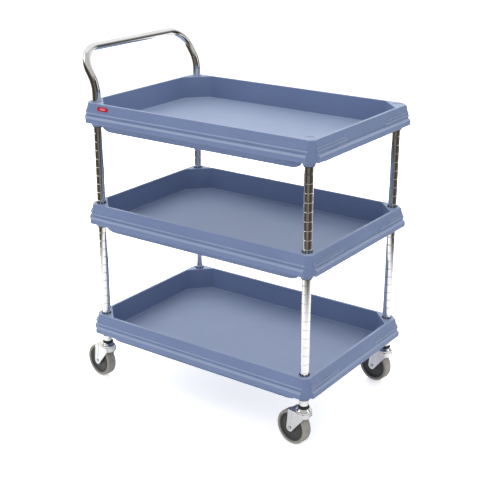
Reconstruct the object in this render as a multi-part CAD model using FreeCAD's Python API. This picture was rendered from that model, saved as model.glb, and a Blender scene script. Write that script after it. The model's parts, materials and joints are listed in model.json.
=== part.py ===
import FreeCAD, Part
import math
import os
from FreeCAD import Vector

os.makedirs("parts", exist_ok=True)

# Food service trolley: three deep moulded trays on four grooved chrome posts,
# a chrome push handle at one end and four swivel casters.
# Millimetres, +Z up, +X away from the push handle, +Y to the left of whoever pushes it.
# The origin is on the floor, under the middle of the whole trolley.  The shapes are made
# about the middle of the four posts, and export() moves them to that origin.

# Posts and the grooves that the trays lock into
post_pitch_x = 720.0
post_pitch_y = 468.0
post_diameter = 25.4
post_wall = 1.7
post_foot_above_wheel = 26.4
groove_pitch = 25.4
groove_width = 1.6
groove_depth = 0.6
first_groove_above_foot = 25.4

# Which groove each tray locks into, counted from the lowest
bottom_tray_groove = 1
middle_tray_groove = 15
top_tray_groove = 27
rim_above_lock_groove = 41.0

# Tray outside: overhang is measured outwards from the post centre line
rim_overhang = 25.0
rim_edge_round = 1.2
rim_corner_cut = 17.0
band_depth = 27.0
band_flare = 6.5
band_corner_cut = 19.5
bead_drop = 3.0
bead_out = 2.0
lip_drop = 11.0
lip_corner_cut = 21.0
bumper_top_depth = 42.0
bumper_overhang = 39.0
bumper_bottom_depth = 57.0
bumper_edge_round = 2.0
bumper_corner_cut = 25.0
shell_wall = 3.5

# Tray inside
rim_width = 7.5
tray_depth = 68.0
inner_wall_draft = 5.5
floor_thickness = 4.0
corner_pad_margin = 4.5

# Stiffening under the tray floor
rail_overhang = 4.0
rail_thickness = 4.0
rail_depth = 84.5
rail_end_inset = 22.0
rail_full_inset = 56.0
floor_rib_thickness = 3.0
floor_rib_drop = 9.0
floor_rib_count = 5
rail_end_bow = 0.18

# Corner collars that the posts pass through
collar_depth = 72.0
collar_wall = 2.0
collar_skirt_radius = 23.0

# Short-side fixing holes
side_hole_spacing = 196.0
side_hole_diameter = 4.6
side_hole_depth = 35.5

# Split sleeves that wedge the tray collars to the posts
sleeve_fit = 0.05
sleeve_top_wall = 1.3
sleeve_bottom_wall = 2.5
sleeve_below_rim = 2.6
sleeve_below_collar = 2.0
sleeve_split_angle = 5.0
sleeve_bead_width = 1.2
sleeve_bead_height = 0.45

# Caps over the two posts that end in the top tray
cap_thickness = 2.2
cap_recess = 0.2
cap_side_fit = 0.1
cap_plug_length = 12.0

# Push handle, bent from the same tube as the posts
handle_joint_below_rim = 30.0
handle_straight_above_rim = 22.0
handle_lean_radius = 95.0
handle_lean_angle = 32.0
handle_corner_radius = 67.0
handle_bar_above_rim = 141.5
joiner_length = 60.0
tube_fit = 0.05

# Badge on the top tray
badge_length = 40.0
badge_height = 12.0
badge_thickness = 1.2
badge_corner_radius = 5.0
badge_from_post = 48.0
badge_below_rim = 13.0

# Casters
wheel_diameter = 101.6
wheel_trail = 34.0
caster_swing = 9.0
tyre_width = 31.0
tyre_inner_radius = 42.5
tyre_shoulder = 5.0
tyre_shoulder_steps = 4
hub_width = 27.0
hub_web_width = 14.0
hub_boss_radius = 12.5
hub_boss_width = 32.0
hub_rim_wall = 3.5
hub_fillet = 2.0
axle_radius = 4.0
axle_fit = 0.05
bush_wall = 2.0
wheel_running_fit = 0.08
fork_gap = 1.0
fork_thickness = 2.6
fork_wheel_clearance = 3.0
fork_crown_radius = 22.0
fork_skirt_radius = 19.0
fork_skirt_depth = 16.0
fork_leg_rear = 40.0
fork_leg_front = 15.0
fork_leg_front_depth = 14.0
fork_leg_eye_radius = 11.5
fork_crease_width = 9.0
fork_crease_height = 0.8
race_ring_height = 2.5
ball_radius = 3.0
ball_ring_radius = 15.5
ball_count = 14
ball_seat_rise = 1.35
ball_same_side_fit = 0.05
ball_running_fit = 0.12
cup_radius = 22.5
cup_wall = 2.2
cup_fork_gap = 0.8
cup_over_balls = 1.8
seal_height = 7.0
seal_radius = 16.0
seal_edge = 1.5
stem_neck_radius = 8.0
stem_plug_length = 50.0
kingpin_radius = 7.0
kingpin_running_fit = 0.3
kingpin_head_radius = 9.0
kingpin_head_height = 3.0
kingpin_head_gap = 0.4
bolt_head_radius = 5.5
bolt_head_height = 2.0
bolt_end = 1.0
nut_across_flats = 13.0
nut_height = 5.0
small_gap = 0.05

# How far cutting shapes run past the faces that they cut
overcut = 1.0

# Sizes worked out from the ones above
post_radius = post_diameter / 2
post_bore = post_radius - post_wall
half_x = post_pitch_x / 2
half_y = post_pitch_y / 2
wheel_radius = wheel_diameter / 2
post_foot_height = wheel_diameter + post_foot_above_wheel
sleeve_inner = post_radius + sleeve_fit
collar_top_bore = sleeve_inner + sleeve_top_wall + sleeve_fit
collar_bottom_bore = sleeve_inner + sleeve_bottom_wall + sleeve_fit
collar_radius = collar_bottom_bore + collar_wall
cavity_overhang = rim_overhang - rim_width
cavity_corner_cut = 2 * cavity_overhang + math.sqrt(2) * (collar_top_bore + corner_pad_margin)
skirt_depth = bumper_bottom_depth + bumper_edge_round

# The rear wheels trail behind the posts further than the bumper stands out in front
rear_reach = wheel_trail + wheel_radius
posts_middle_x = (rear_reach - bumper_overhang) / 2


def groove_height(index):
    return post_foot_height + first_groove_above_foot + index * groove_pitch


def rim_height(lock_groove):
    return groove_height(lock_groove) + rim_above_lock_groove


tray_rims = {
    "bottom": rim_height(bottom_tray_groove),
    "middle": rim_height(middle_tray_groove),
    "top": rim_height(top_tray_groove),
}

# Corner name: sign along X and sign along Y
corners = {
    "front_right": (1, -1),
    "front_left": (1, 1),
    "rear_right": (-1, -1),
    "rear_left": (-1, 1),
}

end_posts = {
    "front": ("front_right", "front_left"),
    "rear": ("rear_right", "rear_left"),
}


def corner_place(name):
    sign_x, sign_y = corners[name]
    return Vector(sign_x * half_x, sign_y * half_y, 0)


def export(shape, name):
    shape.translate(Vector(posts_middle_x, 0, 0))
    shape.exportStep("parts/" + name + ".step")


def fuse_all(shapes):
    return shapes[0].fuse(shapes[1:]).removeSplitter()


def revolve(points):
    """Solid of revolution about Z from (radius, height) points."""
    outline = [Vector(radius, 0, height) for radius, height in points]
    wire = Part.makePolygon(outline + [outline[0]])
    return Part.Face(wire).revolve(Vector(0, 0, 0), Vector(0, 0, 1), 360)


def cylinder(radius, low, high, centre=Vector(0, 0, 0)):
    base = Vector(centre.x, centre.y, low)
    return Part.makeCylinder(radius, high - low, base)


def box(low, high):
    size = Vector(*high) - Vector(*low)
    return Part.makeBox(size.x, size.y, size.z, Vector(*low))


def cut_rectangle(overhang, corner_cut, height):
    """Rectangle around the posts with its four corners cut off, at one height."""
    x = half_x + overhang
    y = half_y + overhang
    points = [
        (x, -y + corner_cut), (x, y - corner_cut), (x - corner_cut, y), (-x + corner_cut, y),
        (-x, y - corner_cut), (-x, -y + corner_cut), (-x + corner_cut, -y), (x - corner_cut, -y),
    ]
    outline = [Vector(px, py, height) for px, py in points]
    return Part.makePolygon(outline + [outline[0]])


def stack(levels, rim):
    """Solid through cut rectangles given as (depth below rim, overhang, corner cut)."""
    wires = [cut_rectangle(overhang, cut, rim - depth) for depth, overhang, cut in levels]
    return Part.makeLoft(wires, True, True)


def offset_levels(levels, inwards):
    """The same levels moved inwards, with the corner faces moved by the same amount."""
    corner_change = inwards * (2 - math.sqrt(2))
    return [(depth, overhang - inwards, cut - corner_change) for depth, overhang, cut in levels]


# ---------------------------------------------------------------- trays
band_overhang = rim_overhang + band_flare
outer_levels = [
    (0, rim_overhang - rim_edge_round, rim_corner_cut),
    (rim_edge_round, rim_overhang, rim_corner_cut),
    (band_depth, band_overhang, band_corner_cut),
    (band_depth + bead_drop, band_overhang + bead_out, band_corner_cut),
    (band_depth + 2 * bead_drop, band_overhang, band_corner_cut),
    (band_depth + lip_drop, band_overhang, lip_corner_cut),
    (bumper_top_depth, bumper_overhang, bumper_corner_cut),
    (bumper_bottom_depth, bumper_overhang, bumper_corner_cut),
    (skirt_depth, bumper_overhang - bumper_edge_round, bumper_corner_cut),
]


def cavity_levels(outwards, bottom):
    corner_change = outwards * (2 - math.sqrt(2))
    return [
        (0, cavity_overhang + outwards, cavity_corner_cut + corner_change),
        (bottom, cavity_overhang - inner_wall_draft + outwards, cavity_corner_cut + corner_change),
    ]


def tray_shell(rim):
    outside = stack(outer_levels, rim)
    under = offset_levels(outer_levels[2:], shell_wall)
    top_overhang, top_cut = offset_levels(outer_levels[1:2], shell_wall)[0][1:]
    under_levels = [(floor_thickness, top_overhang, top_cut)] + under
    last_depth, last_overhang, last_cut = under_levels[-1]
    under_levels.append((last_depth + shell_wall, last_overhang, last_cut))
    hollow = stack(under_levels, rim)
    bucket = stack(cavity_levels(shell_wall, tray_depth + floor_thickness), rim)
    return outside.cut(hollow).fuse(bucket)


def floor_rails(rim):
    """Two long rails with swept ends, closed by a rib across each end."""
    low = rim - rail_depth
    high = rim - tray_depth - floor_thickness / 2
    end = half_x - rail_end_inset
    full = half_x - rail_full_inset
    side = half_y + rail_overhang
    shapes = []
    for sign in (-1, 1):
        wire = [
            Part.LineSegment(Vector(-end, 0, high), Vector(end, 0, high)).toShape(),
            Part.Arc(Vector(end, 0, high), Vector(*rail_sweep(end, full, high, low)),
                     Vector(full, 0, low)).toShape(),
            Part.LineSegment(Vector(full, 0, low), Vector(-full, 0, low)).toShape(),
            Part.Arc(Vector(-full, 0, low), Vector(*rail_sweep(-end, -full, high, low)),
                     Vector(-end, 0, high)).toShape(),
        ]
        face = Part.Face(Part.Wire(wire))
        inner_face = side - rail_thickness if sign > 0 else -side
        face.translate(Vector(0, inner_face, 0))
        shapes.append(face.extrude(Vector(0, rail_thickness, 0)))
    inside = side - rail_thickness
    for sign in (-1, 1):
        outer = sign * full
        inner = sign * (full - rail_thickness)
        shapes.append(box((min(outer, inner), -inside, low), (max(outer, inner), inside, high)))
    return shapes


def rail_sweep(end, full, high, low):
    """Middle point of the rail end's arc, bowed downwards."""
    middle_x = (end + full) / 2
    middle_z = (high + low) / 2
    bow = rail_end_bow * (high - low)
    return middle_x + bow * (1 if end > 0 else -1), 0, middle_z - bow


def floor_ribs(rim):
    high = rim - tray_depth - floor_thickness / 2
    low = rim - tray_depth - floor_thickness - floor_rib_drop
    full = half_x - rail_full_inset - rail_thickness
    side = half_y + rail_overhang - rail_thickness
    half = floor_rib_thickness / 2
    shapes = [box((-full, -half, low), (full, half, high))]
    for index in range(floor_rib_count):
        x = -full + 2 * full * (index + 1) / (floor_rib_count + 1)
        shapes.append(box((x - half, -side, low), (x + half, side, high)))
    return shapes


def collar_block(name, rim):
    place = corner_place(name)
    top = rim - floor_thickness / 2
    straight = cylinder(collar_radius, rim - collar_depth, top, place)
    cone = Part.makeCone(collar_radius, collar_skirt_radius, collar_depth - bumper_bottom_depth,
                         Vector(place.x, place.y, rim - collar_depth))
    post_block = cylinder(collar_skirt_radius, rim - bumper_bottom_depth,
                          rim - bumper_top_depth, place)
    return straight.fuse([cone, post_block])


def collar_bore(name, rim):
    place = corner_place(name)
    bottom = rim - collar_depth
    cone = Part.makeCone(collar_bottom_bore, collar_top_bore, collar_depth - sleeve_below_rim,
                         Vector(place.x, place.y, bottom))
    mouth = cylinder(collar_top_bore, rim - sleeve_below_rim, rim + overcut, place)
    return cone.fuse(mouth)


def side_holes(rim):
    reach = half_x + bumper_overhang
    shapes = []
    for sign_x in (-1, 1):
        for sign_y in (-1, 1):
            start = Vector(sign_x * (half_x + cavity_overhang + shell_wall + overcut),
                           sign_y * side_hole_spacing / 2, rim - side_hole_depth)
            length = reach - abs(start.x)
            shapes.append(Part.makeCylinder(side_hole_diameter / 2, length, start,
                                            Vector(sign_x, 0, 0)))
    return shapes


def make_tray(rim):
    body = tray_shell(rim)
    outside = stack(outer_levels, rim)
    foot_room = box((-post_pitch_x, -post_pitch_y, rim - rail_depth - overcut),
                    (post_pitch_x, post_pitch_y, rim - skirt_depth))
    keep = outside.fuse(foot_room)
    blocks = [collar_block(name, rim).common(keep) for name in corners]
    body = body.fuse(blocks + floor_rails(rim) + floor_ribs(rim))
    body = body.cut(stack(cavity_levels(0, tray_depth), rim))
    body = body.cut([collar_bore(name, rim) for name in corners] + side_holes(rim))
    return body.removeSplitter()


# ---------------------------------------------------------------- posts and handle
handle_posts = ("rear_right", "rear_left")
cap_posts = ("front_right", "front_left")
top_rim = tray_rims["top"]
post_tops = {name: top_rim - handle_joint_below_rim for name in handle_posts}
post_tops.update({name: top_rim - cap_recess - cap_thickness for name in cap_posts})


def make_post(name):
    top = post_tops[name]
    outline = [(post_bore, post_foot_height), (post_radius, post_foot_height)]
    index = 0
    while groove_height(index) + groove_width < top:
        low = groove_height(index) - groove_width / 2
        high = low + groove_width
        outline += [(post_radius, low), (post_radius - groove_depth, low),
                    (post_radius - groove_depth, high), (post_radius, high)]
        index += 1
    outline += [(post_radius, top), (post_bore, top)]
    post = revolve(outline)
    post.translate(corner_place(name))
    return post


def tube_section(place, direction):
    """Ring-shaped face of the handle tube."""
    outer = Part.Wire([Part.makeCircle(post_radius, place, direction)])
    inner = Part.Wire([Part.makeCircle(post_bore, place, direction)])
    return Part.Face([outer, inner])


def straight_tube(start, end):
    run = end - start
    return tube_section(start, run).extrude(run)


def bent_tube(start, direction, centre, axis, degrees):
    return tube_section(start, direction).revolve(centre, axis, degrees)


def handle_side(sign):
    """One leg: upright, leaned back, then turned inwards to meet the cross bar."""
    lean = math.radians(handle_lean_angle)
    y = sign * half_y
    foot = Vector(-half_x, y, top_rim - handle_joint_below_rim)
    bend = Vector(-half_x, y, top_rim + handle_straight_above_rim)
    bend_centre = bend - Vector(handle_lean_radius, 0, 0)
    bend_end = bend_centre + Vector(math.cos(lean), 0, math.sin(lean)) * handle_lean_radius
    along_leg = Vector(-math.sin(lean), 0, math.cos(lean))
    bar_height = top_rim + handle_bar_above_rim
    leg_corner = bend_end + along_leg * ((bar_height - bend_end.z) / math.cos(lean))
    leg_end = leg_corner - along_leg * handle_corner_radius
    inwards = Vector(0, -sign, 0)
    corner_centre = leg_end + inwards * handle_corner_radius
    pieces = [
        straight_tube(foot, bend),
        bent_tube(bend, Vector(0, 0, 1), bend_centre, Vector(0, -1, 0), handle_lean_angle),
        straight_tube(bend_end, leg_end),
        bent_tube(leg_end, along_leg, corner_centre, along_leg.cross(inwards), 90),
    ]
    return pieces, leg_corner + inwards * handle_corner_radius


def make_handle():
    right, bar_right = handle_side(-1)
    left, bar_left = handle_side(1)
    return fuse_all(right + left + [straight_tube(bar_right, bar_left)])


def make_joiners():
    """Plugs that hold the handle legs on top of the posts."""
    middle = top_rim - handle_joint_below_rim
    low = middle - joiner_length / 2
    return Part.makeCompound([
        cylinder(post_bore - tube_fit, low, low + joiner_length, corner_place(name))
        for name in handle_posts
    ])


def make_caps():
    top = top_rim - cap_recess
    low = top - cap_thickness
    caps = []
    for name in cap_posts:
        place = corner_place(name)
        head = cylinder(collar_top_bore - cap_side_fit, low, top, place)
        plug = cylinder(post_bore - tube_fit, low - cap_plug_length, low, place)
        caps.append(head.fuse(plug).removeSplitter())
    return Part.makeCompound(caps)


def make_sleeves(rim, post_names):
    """Two half sleeves at each of the named posts, each with a bead that sits in a post groove."""
    top = rim - sleeve_below_rim
    bottom = rim - collar_depth - sleeve_below_collar
    bead = rim - rim_above_lock_groove
    half_bead = sleeve_bead_width / 2
    bead_radius = post_radius - sleeve_bead_height
    flare_bottom = rim - collar_depth
    outline = [
        (sleeve_inner, bottom), (sleeve_inner + sleeve_bottom_wall, bottom),
        (sleeve_inner + sleeve_bottom_wall, flare_bottom), (sleeve_inner + sleeve_top_wall, top),
        (sleeve_inner, top), (sleeve_inner, bead + half_bead), (bead_radius, bead + half_bead),
        (bead_radius, bead - half_bead), (sleeve_inner, bead - half_bead),
    ]
    points = [Vector(radius, 0, height) for radius, height in outline]
    face = Part.Face(Part.makePolygon(points + [points[0]]))
    half = face.revolve(Vector(0, 0, 0), Vector(0, 0, 1), 180 - sleeve_split_angle)
    sleeves = []
    for name in post_names:
        sign_x, sign_y = corners[name]
        facing = math.degrees(math.atan2(sign_y, sign_x))
        for side in (0, 180):
            piece = half.copy()
            piece.rotate(Vector(0, 0, 0), Vector(0, 0, 1), facing + side + sleeve_split_angle / 2)
            piece.translate(corner_place(name))
            sleeves.append(piece)
    return Part.makeCompound(sleeves)


def make_badge():
    """Plain rounded plate that lies on the sloping face of the top tray's right side."""
    slope = math.degrees(math.atan2(band_flare, band_depth - rim_edge_round))
    half_length = badge_length / 2 - badge_corner_radius
    half_height = badge_height / 2 - badge_corner_radius
    plate = box((-half_length, 0, -badge_height / 2),
                (half_length, badge_thickness, badge_height / 2))
    wide = box((-badge_length / 2, 0, -half_height), (badge_length / 2, badge_thickness, half_height))
    rounds = [
        Part.makeCylinder(badge_corner_radius, badge_thickness,
                          Vector(sx * half_length, 0, sz * half_height), Vector(0, 1, 0))
        for sx in (-1, 1) for sz in (-1, 1)
    ]
    badge = fuse_all([plate, wide] + rounds)
    badge.translate(Vector(0, -badge_thickness, 0))
    badge.rotate(Vector(0, 0, 0), Vector(1, 0, 0), -slope)
    flare = band_flare * (badge_below_rim - rim_edge_round) / (band_depth - rim_edge_round)
    badge.translate(Vector(-half_x + badge_from_post, -half_y - rim_overhang - flare - small_gap,
                           top_rim - badge_below_rim))
    return badge


# ---------------------------------------------------------------- casters
# Built with the swivel axis on Z and the wheel trailing towards -X, then turned and placed.
crown_low = wheel_diameter + fork_wheel_clearance
crown_high = crown_low + fork_thickness
race_high = crown_high + race_ring_height
ball_height = race_high + ball_seat_rise
seal_low = post_foot_height - seal_height
fork_inside = hub_boss_width / 2 + fork_gap
fork_outside = fork_inside + fork_thickness
axle_x = -wheel_trail
bush_radius = axle_radius + axle_fit + bush_wall


def ball_track(clearance):
    ring = Part.makeTorus(ball_ring_radius, ball_radius + clearance)
    ring.translate(Vector(0, 0, ball_height))
    return ring


def across(radius, half_width, centre_x=axle_x, centre_z=wheel_radius):
    """Cylinder along Y about the wheel centre."""
    return Part.makeCylinder(radius, 2 * half_width, Vector(centre_x, -half_width, centre_z),
                             Vector(0, 1, 0))


def wheel_ring(points):
    """Ring about the wheel axle from (radius, distance across) points."""
    outline = [Vector(axle_x, distance, wheel_radius + radius) for radius, distance in points]
    wire = Part.makePolygon(outline + [outline[0]])
    return Part.Face(wire).revolve(Vector(axle_x, 0, wheel_radius), Vector(0, 1, 0), 360)


def caster_stem():
    plug_top = post_foot_height + stem_plug_length
    head_top = crown_low - kingpin_head_gap
    head_low = head_top - kingpin_head_height
    return revolve([
        (0, head_low), (kingpin_head_radius, head_low), (kingpin_head_radius, head_top),
        (kingpin_radius, head_top), (kingpin_radius, seal_low), (stem_neck_radius, seal_low),
        (stem_neck_radius, post_foot_height), (post_bore - tube_fit, post_foot_height),
        (post_bore - tube_fit, plug_top), (0, plug_top),
    ])


def caster_cup():
    """Upper bearing cup: a shallow dome over the balls, open at the bottom."""
    rim_low = crown_high + cup_fork_gap
    inner_top = ball_height + cup_over_balls
    seal_foot = seal_low - small_gap
    outer = revolve([
        (kingpin_radius + small_gap, inner_top), (cup_radius - cup_wall, inner_top),
        (cup_radius - cup_wall, rim_low), (cup_radius, rim_low),
        (cup_radius, inner_top - cup_wall / 2), (cup_radius - cup_wall, inner_top + cup_wall),
        (seal_radius - cup_wall, seal_foot), (kingpin_radius + small_gap, seal_foot),
    ])
    return outer.cut(ball_track(ball_running_fit))


def caster_seal():
    return revolve([
        (stem_neck_radius + small_gap, seal_low), (seal_radius - seal_edge, seal_low),
        (seal_radius, seal_low + seal_edge), (seal_radius, post_foot_height - 2 * seal_edge),
        (post_radius + seal_edge, post_foot_height),
        (stem_neck_radius + small_gap, post_foot_height),
    ])


def caster_balls():
    balls = []
    for index in range(ball_count):
        angle = 2 * math.pi * index / ball_count
        centre = Vector(ball_ring_radius * math.cos(angle), ball_ring_radius * math.sin(angle),
                        ball_height)
        balls.append(Part.makeSphere(ball_radius, centre))
    return Part.makeCompound(balls)


def eye_tangent(corner_x, corner_z, side):
    """Angle at the axle eye where a straight edge from a plate corner touches it."""
    dx = corner_x - axle_x
    dz = corner_z - wheel_radius
    return math.atan2(dz, dx) + side * math.acos(fork_leg_eye_radius / math.hypot(dx, dz))


def fork_leg(side):
    """One side plate: nearly upright behind, swept from the swivel down to the axle in front."""
    plate_low = fork_inside if side > 0 else -fork_outside
    front_low = crown_high - fork_leg_front_depth
    front_angle = eye_tangent(fork_leg_front, front_low, -1)
    rear_angle = eye_tangent(-fork_leg_rear, crown_high, 1)

    def point(x, z):
        return Vector(x, plate_low, z)

    def on_eye(angle):
        return point(axle_x + fork_leg_eye_radius * math.cos(angle),
                     wheel_radius + fork_leg_eye_radius * math.sin(angle))

    rear_top = point(-fork_leg_rear, crown_high)
    front_top = point(fork_leg_front, crown_high)
    front_corner = point(fork_leg_front, front_low)
    wire = Part.Wire([
        Part.LineSegment(rear_top, front_top).toShape(),
        Part.LineSegment(front_top, front_corner).toShape(),
        Part.LineSegment(front_corner, on_eye(front_angle)).toShape(),
        Part.Arc(on_eye(front_angle), on_eye(-math.pi / 2), on_eye(rear_angle)).toShape(),
        Part.LineSegment(on_eye(rear_angle), rear_top).toShape(),
    ])
    plate = Part.Face(wire).extrude(Vector(0, fork_thickness, 0))
    return plate.fuse(fork_crease(side))


def fork_crease(side):
    """Pressed rib that stiffens a side plate, from the crown to just above the axle."""
    low = fork_outside if side > 0 else -fork_outside - fork_crease_height
    half = fork_crease_width / 2
    foot_z = wheel_radius + fork_leg_eye_radius
    middle_x = (axle_x - fork_leg_rear) / 2 + fork_crease_width
    points = [
        Vector(middle_x - half, low, crown_high), Vector(middle_x + half, low, crown_high),
        Vector(axle_x + half / 2, low, foot_z), Vector(axle_x - half / 2, low, foot_z),
    ]
    face = Part.Face(Part.makePolygon(points + [points[0]]))
    return face.extrude(Vector(0, fork_crease_height, 0))


def fork_crown():
    """Round crown with a short tapered skirt, open underneath."""
    skirt_low = crown_high - fork_skirt_depth
    outer = Part.makeCone(fork_skirt_radius, fork_crown_radius, fork_skirt_depth,
                          Vector(0, 0, skirt_low))
    inner = Part.makeCone(fork_skirt_radius - fork_thickness, fork_crown_radius - fork_thickness,
                          fork_skirt_depth - fork_thickness, Vector(0, 0, skirt_low))
    bridge = box((-fork_leg_rear, -fork_outside, crown_low), (0, fork_outside, crown_high))
    wheel_room = across(wheel_radius + fork_wheel_clearance, fork_inside)
    return outer.cut(inner).fuse(bridge).cut(wheel_room)


def caster_fork():
    race = cylinder(ball_ring_radius + ball_radius, crown_high, race_high)
    body = fuse_all([fork_crown(), race, fork_leg(1), fork_leg(-1)])
    pin_room = kingpin_radius + kingpin_running_fit
    body = body.cut(cylinder(pin_room, crown_low - overcut, race_high + overcut))
    body = body.cut(ball_track(ball_same_side_fit))
    reach = fork_outside + fork_crease_height + overcut
    return body.cut(across(axle_radius + axle_fit, reach)).removeSplitter()


def caster_bolt():
    head_low = -fork_outside - small_gap - bolt_head_height
    shank_end = fork_outside + small_gap + nut_height + bolt_end
    shank = Part.makeCylinder(axle_radius, shank_end - head_low,
                              Vector(axle_x, head_low, wheel_radius), Vector(0, 1, 0))
    seat = -fork_outside - small_gap
    head = Part.makeCylinder(bolt_head_radius, seat - head_low,
                             Vector(axle_x, head_low, wheel_radius), Vector(0, 1, 0))
    return shank.fuse(head).removeSplitter()


def caster_nut():
    low = fork_outside + small_gap
    corner = nut_across_flats / math.sqrt(3)
    points = [
        Vector(axle_x + corner * math.cos(math.radians(60 * k)), low,
               wheel_radius + corner * math.sin(math.radians(60 * k)))
        for k in range(6)
    ]
    nut = Part.Face(Part.makePolygon(points + [points[0]])).extrude(Vector(0, nut_height, 0))
    return nut.cut(across(axle_radius + axle_fit, fork_outside + 2 * nut_height))


def caster_bush():
    length = fork_inside - small_gap
    return across(bush_radius, length).cut(across(axle_radius + axle_fit, length + overcut))


def caster_hub():
    """Wheel core: a boss on the axle, a web and a rim that the tyre is moulded on."""
    boss = hub_boss_width / 2
    web = hub_web_width / 2
    rim = hub_width / 2
    bore = bush_radius + wheel_running_fit
    rim_inner = tyre_inner_radius - hub_rim_wall
    return wheel_ring([
        (bore, -boss), (hub_boss_radius, -boss), (hub_boss_radius, -web - hub_fillet),
        (hub_boss_radius + hub_fillet, -web), (rim_inner - hub_fillet, -web), (rim_inner, -rim),
        (tyre_inner_radius, -rim), (tyre_inner_radius, rim), (rim_inner, rim),
        (rim_inner - hub_fillet, web), (hub_boss_radius + hub_fillet, web),
        (hub_boss_radius, web + hub_fillet), (hub_boss_radius, boss), (bore, boss),
    ])


def tyre_edge(side):
    """Rounded shoulder of the tyre, from its side wall out to the tread."""
    points = []
    for step in range(tyre_shoulder_steps + 1):
        angle = math.pi / 2 * step / tyre_shoulder_steps
        radius = wheel_radius - tyre_shoulder * (1 - math.sin(angle))
        distance = tyre_width / 2 - tyre_shoulder * (1 - math.cos(angle))
        points.append((radius, side * distance))
    return points


def caster_tyre():
    low = tyre_inner_radius + small_gap
    near_side = [(low, -hub_width / 2)] + tyre_edge(-1)
    far_side = [(low, hub_width / 2)] + tyre_edge(1)
    return wheel_ring(near_side + far_side[::-1])


caster_pieces = {
    "stem": caster_stem,
    "bearing_cup": caster_cup,
    "seal_ring": caster_seal,
    "bearing_balls": caster_balls,
    "fork": caster_fork,
    "axle_bolt": caster_bolt,
    "axle_nut": caster_nut,
    "wheel_bush": caster_bush,
    "wheel_hub": caster_hub,
    "tyre": caster_tyre,
}


def export_caster(name):
    for piece, maker in caster_pieces.items():
        shape = maker()
        shape.rotate(Vector(0, 0, 0), Vector(0, 0, 1), -caster_swing)
        shape.translate(corner_place(name))
        export(shape, "caster_" + name + "_" + piece)


for level, rim in tray_rims.items():
    export(make_tray(rim), "tray_" + level)
    for end, post_names in end_posts.items():
        export(make_sleeves(rim, post_names), "sleeves_" + level + "_" + end)

for corner in corners:
    export(make_post(corner), "post_" + corner)
    export_caster(corner)

export(make_handle(), "push_handle")
export(make_joiners(), "handle_joiners")
export(make_caps(), "post_caps")
export(make_badge(), "badge_plate")
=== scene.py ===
import json
import math

import bmesh
import bpy
from mathutils import Matrix, Vector


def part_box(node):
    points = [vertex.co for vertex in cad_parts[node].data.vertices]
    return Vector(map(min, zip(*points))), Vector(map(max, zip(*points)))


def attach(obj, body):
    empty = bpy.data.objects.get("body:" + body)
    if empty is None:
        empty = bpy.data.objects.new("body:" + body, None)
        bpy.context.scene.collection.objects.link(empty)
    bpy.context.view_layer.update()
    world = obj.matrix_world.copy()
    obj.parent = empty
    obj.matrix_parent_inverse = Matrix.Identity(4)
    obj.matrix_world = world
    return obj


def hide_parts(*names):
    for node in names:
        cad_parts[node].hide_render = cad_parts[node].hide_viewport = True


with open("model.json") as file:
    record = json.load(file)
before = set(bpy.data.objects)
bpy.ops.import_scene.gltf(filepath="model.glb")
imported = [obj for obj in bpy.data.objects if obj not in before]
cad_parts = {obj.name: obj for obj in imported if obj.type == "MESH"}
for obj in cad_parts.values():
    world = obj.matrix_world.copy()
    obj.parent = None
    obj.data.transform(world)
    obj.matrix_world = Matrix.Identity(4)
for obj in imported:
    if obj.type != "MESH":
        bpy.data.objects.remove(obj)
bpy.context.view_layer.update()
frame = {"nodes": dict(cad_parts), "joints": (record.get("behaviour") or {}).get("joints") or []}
scene = bpy.context.scene
mm = 0.001

corners = {"front_right": (1, -1), "front_left": (1, 1), "rear_right": (-1, -1), "rear_left": (-1, 1)}
trayLevels = ("bottom", "middle", "top")
rootBody = "trolley_frame"


def postAxis(corner):
    low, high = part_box("post_" + corner)
    return Vector(((low.x + high.x) / 2, (low.y + high.y) / 2, 0))


frontRight, rearLeft = postAxis("front_right"), postAxis("rear_left")
postsMiddle = (frontRight + rearLeft) / 2
halfX = (frontRight.x - rearLeft.x) / 2
halfY = (rearLeft.y - frontRight.y) / 2
rimHeights = {level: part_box("tray_" + level)[1].z for level in trayLevels}
joints = {joint["name"]: joint for joint in frame["joints"]}
print("frame loaded:", len(frame["nodes"]), "nodes")


def addObject(name, data, slot=None):
    piece = bpy.data.objects.new(name, data)
    scene.collection.objects.link(piece)
    if slot:
        data.materials.clear()
        data.materials.append(materials[slot])
    return piece


def aimAlong(item, spot, way):
    item.location = spot
    item.rotation_mode = "QUATERNION"
    item.rotation_quaternion = way.to_track_quat("-Z", "Y")


# camera

cameraSettings = {
    "place": (1.7354, -2.4233, 1.5385),
    "azimuth": 35.45,
    "pitch": 20.05,
    "lens": 78.4,
    "sensor": 36.0,
    "clip": (0.05, 200.0),
}


def makeCamera(s):
    data = bpy.data.cameras.new("studioCamera")
    data.lens = s["lens"]
    data.sensor_width = s["sensor"]
    data.clip_start, data.clip_end = s["clip"]
    turn, dip = math.radians(s["azimuth"]), math.radians(s["pitch"])
    ahead = Vector((-math.sin(turn) * math.cos(dip), math.cos(turn) * math.cos(dip), -math.sin(dip)))
    scene.camera = addObject("studioCamera", data)
    aimAlong(scene.camera, s["place"], ahead)


makeCamera(cameraSettings)


# small node helpers

def addNode(tree, kind, sockets=None, **settings):
    made = tree.nodes.new(kind)
    for name, value in settings.items():
        setattr(made, name, value)
    for name, value in (sockets or {}).items():
        socket = made.inputs[name]
        if isinstance(value, bpy.types.NodeSocket):
            tree.links.new(value, socket)
        else:
            socket.default_value = value
    return made


def mathNode(tree, operation, first, second=0.0, clamp=False):
    made = addNode(tree, "ShaderNodeMath", {0: first, 1: second}, operation=operation, use_clamp=clamp)
    return made.outputs[0]


def blendColour(tree, factor, first, second):
    made = addNode(tree, "ShaderNodeMix", {0: factor, 6: first, 7: second}, data_type="RGBA")
    return made.outputs[2]


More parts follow.
